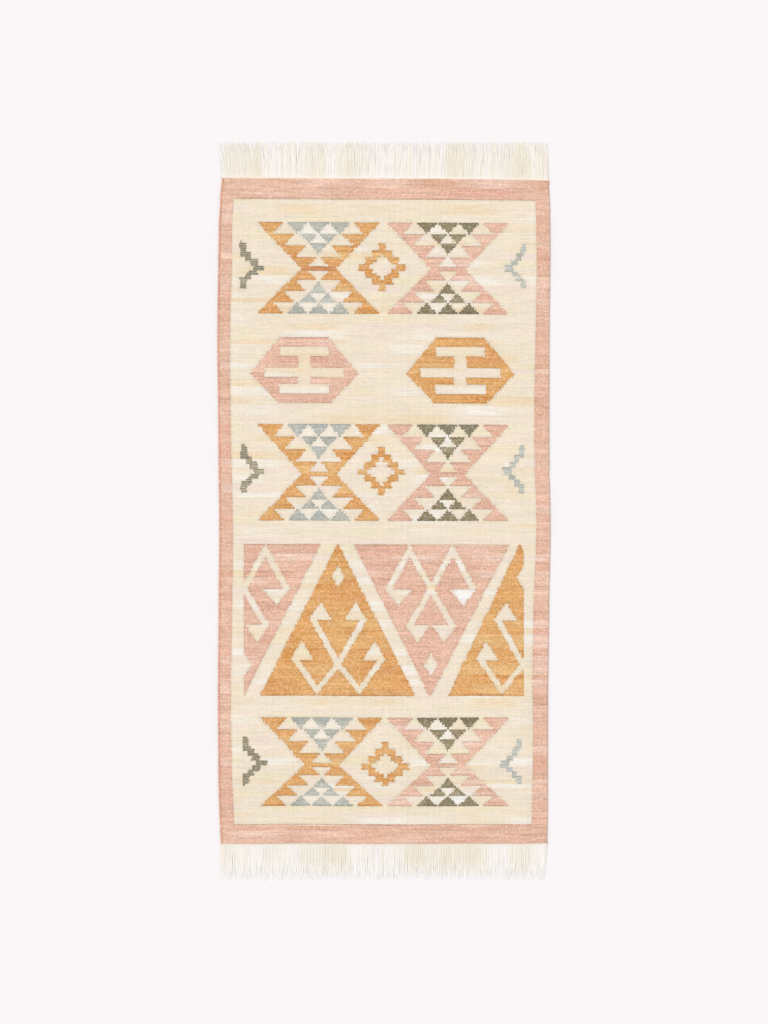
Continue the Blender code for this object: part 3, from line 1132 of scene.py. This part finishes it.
strand = {
    "shades": [(245, 238, 229), (241, 233, 217), (248, 243, 238), (242, 236, 230), (245, 237, 221)],
    "shadeShares": (0.36, 0.14, 0.22, 0.14, 0.14),
    "clumpShade": 0.55,  # how far a tuft has its clump's shade
    "rowShade": (246, 236, 224),  # of the twined row
    "zoneShades": [(238, 229, 209), (250, 245, 242)],  # of broad parts of the fringe
    "zoneLength": 0.045,
    "zoneGain": 1.5,
    "lost": 0.065,  # share of the light that the tufts keep from each other
    "tipShade": (253, 249, 247),  # the paler shade that the tufts turn to towards their tips
    "paleFrom": 0.45,  # how far along a tuft turns paler
    "roughness": 0.93,
    "smoother": 0.03,
    "sheen": 0.1,
    "length": 0.075,
    "apart": (7.3, 3.1),  # how far apart the pattern is read for the next strand and for the next part
    "streaks": 0.07,
    "streakNoise": (2.4, 55.0),  # across a strand, and along it
    "twist": 0.0060,  # length of a turn
    # painted shade in the grooves between the turns of the twist
    "twistGrooveShade": 0.03,
    "twistBump": 0.25,
    "bumpDepth": 0.00012,
}


def tintStrands(parts):  # parts hold the shades of their strands, and their plain tubes' points
    tints, places = [], []
    for number, (shades, shape, length) in enumerate(parts):
        perStrand = len(shape) // len(shades)
        tints.append(np.repeat(shades, perStrand, axis=0))
        nextStrand, nextPart = strand["apart"]
        offset = np.repeat(np.arange(len(shades)) * nextStrand + number * nextPart, perStrand)
        places.append(np.stack([shape[:, 0] + offset, shape[:, 1] * length, shape[:, 2]], axis=1))
    return np.concatenate(tints), np.concatenate(places)


def makeFringe(node, form):
    draws = np.random.default_rng(form["seed"])
    tufts, clump, root = spreadTufts(node, form, draws)
    tuftMesh, tuftShape = makeTufts(tufts)
    fibreMesh, fibreShape, host = makeFibres(tufts, draws)
    rowMesh, rowShape = makeTwining(root, form["end"])

    shades = np.array([dyed(shade, strand["lost"]) for shade in strand["shades"]])
    clumpShade = draws.choice(len(shades), clump.max() + 1, p=strand["shadeShares"])[clump]
    ownShade = shades[draws.choice(len(shades), len(clump))]
    tuftShade = ownShade + (shades[clumpShade] - ownShade) * strand["clumpShade"]
    zone = noiseOver(tufts["rootX"], tufts["rootY"], strand["zoneLength"], form["seed"])[:, None]
    zone = zone * strand["zoneGain"]
    for shade, share in zip(strand["zoneShades"], (zone, -zone)):
        tuftShade = tuftShade + (dyed(shade, strand["lost"]) - tuftShade) * np.clip(share, 0.0, 0.9)
    tints, places = tintStrands([
        (tuftShade, tuftShape, strand["length"]),
        (tuftShade[host], fibreShape, strand["length"]),
        (dyed(strand["rowShade"], strand["lost"])[None], rowShape, 0.0),
    ])

    bm = bmesh.new()
    for part in (tuftMesh, fibreMesh, rowMesh):
        bm.from_mesh(part)
        bpy.data.meshes.remove(part)
    bmesh.ops.recalc_face_normals(bm, faces=bm.faces[:])
    mesh = meshOf(bm, form["piece"])
    mesh.shade_smooth()
    tint = mesh.color_attributes.new("yarnColour", "FLOAT_COLOR", "POINT")
    tint.data.foreach_set("color", np.insert(tints, 3, form["paleTips"], axis=1).astype(np.float32).ravel())
    place = mesh.attributes.new("strandPlace", "FLOAT_VECTOR", "POINT")
    place.data.foreach_set("vector", places.astype(np.float32).ravel())
    return inScene(form["piece"], mesh)


def strandLook():
    look = Look("warpYarn", strand["roughness"], strand["sheen"])
    ownColour = look.node("ShaderNodeVertexColor", {"layer_name": "yarnColour"})
    place = look.node("ShaderNodeAttribute", {"attribute_name": "strandPlace"}, (), 1)
    sideways, along, upwards = look.parts(place)
    thin, long = strand["streakNoise"]
    streaks = look.noise(sideways * thin, along * long, 3.0, roughness=0.65, layer=upwards * thin) - 0.5
    twist = (along * (2 * math.pi / strand["twist"]) + sideways * 2.2).wave()
    # painted shade: darker in the grooves of the twist, where its bump is low
    tone = 1 + streaks * strand["streaks"] - (1 - twist) * (strand["twistGrooveShade"] / 2)
    towardsTip = (along / strand["length"] - strand["paleFrom"]) / (1 - strand["paleFrom"])
    paleTips = look.node("ShaderNodeVertexColor", {"layer_name": "yarnColour"}, (), 1)
    towardsTip = towardsTip.positive() * paleTips
    colour = look.lerp(towardsTip, ownColour, (*dyed(strand["tipShade"], strand["lost"]), 1.0))
    look.feed(look.shader, {
        "Base Color": look.scaled(colour, tone),
        "Roughness": strand["roughness"] - twist * strand["smoother"],
        "Normal": look.bump(streaks + twist * strand["twistBump"], strand["bumpDepth"]),
    })
    return look.material


yarnMaterial = strandLook()
for node, form in fringeEnds.items():
    piece = makeFringe(node, form)
    piece.data.materials.append(yarnMaterial)
    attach(piece, "root")
    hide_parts(node)
    print("fringe laid out:", piece.name, len(piece.data.polygons), "faces")
